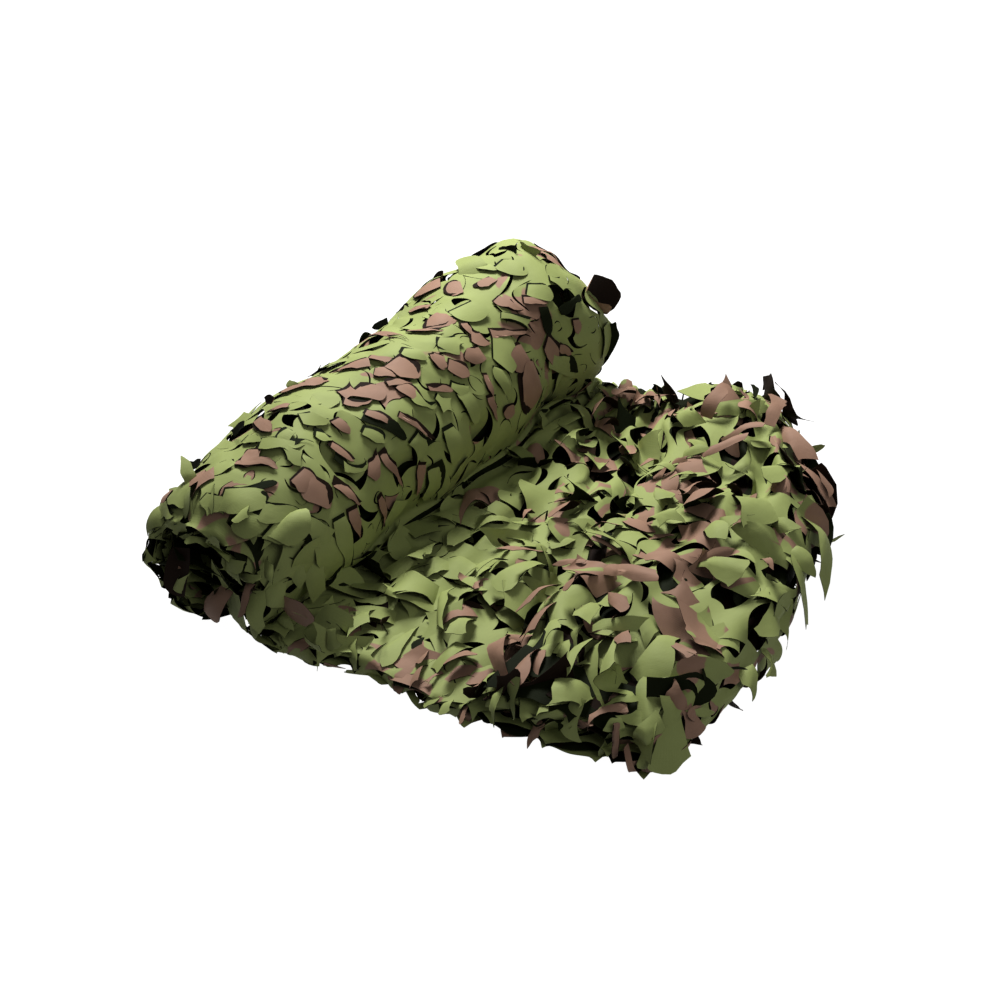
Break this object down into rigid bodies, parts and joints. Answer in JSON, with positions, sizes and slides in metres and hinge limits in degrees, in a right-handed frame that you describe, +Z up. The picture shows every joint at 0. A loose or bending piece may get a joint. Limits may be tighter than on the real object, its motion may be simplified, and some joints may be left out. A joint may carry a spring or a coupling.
{
  "type": "camouflage net",
  "caption": "Rolled camouflage net with its loose end run out flat and folded back over itself, cut all over into raised leaves.",
  "frame": {"origin": "on the ground, under the middle of the roll and half way along it", "axes": "+Z up, +Y along the roll, +X from the roll towards its loose end"},
  "size_m": [0.686, 0.7037, 0.2139],
  "materials": {
    "leaf_cloth": "matt coated polyester, printed in green with brown patches, darker on the reverse"
  },
  "bodies": {
    "root": {"camouflage_net": "leaf_cloth"}
  },
  "joints": []
}
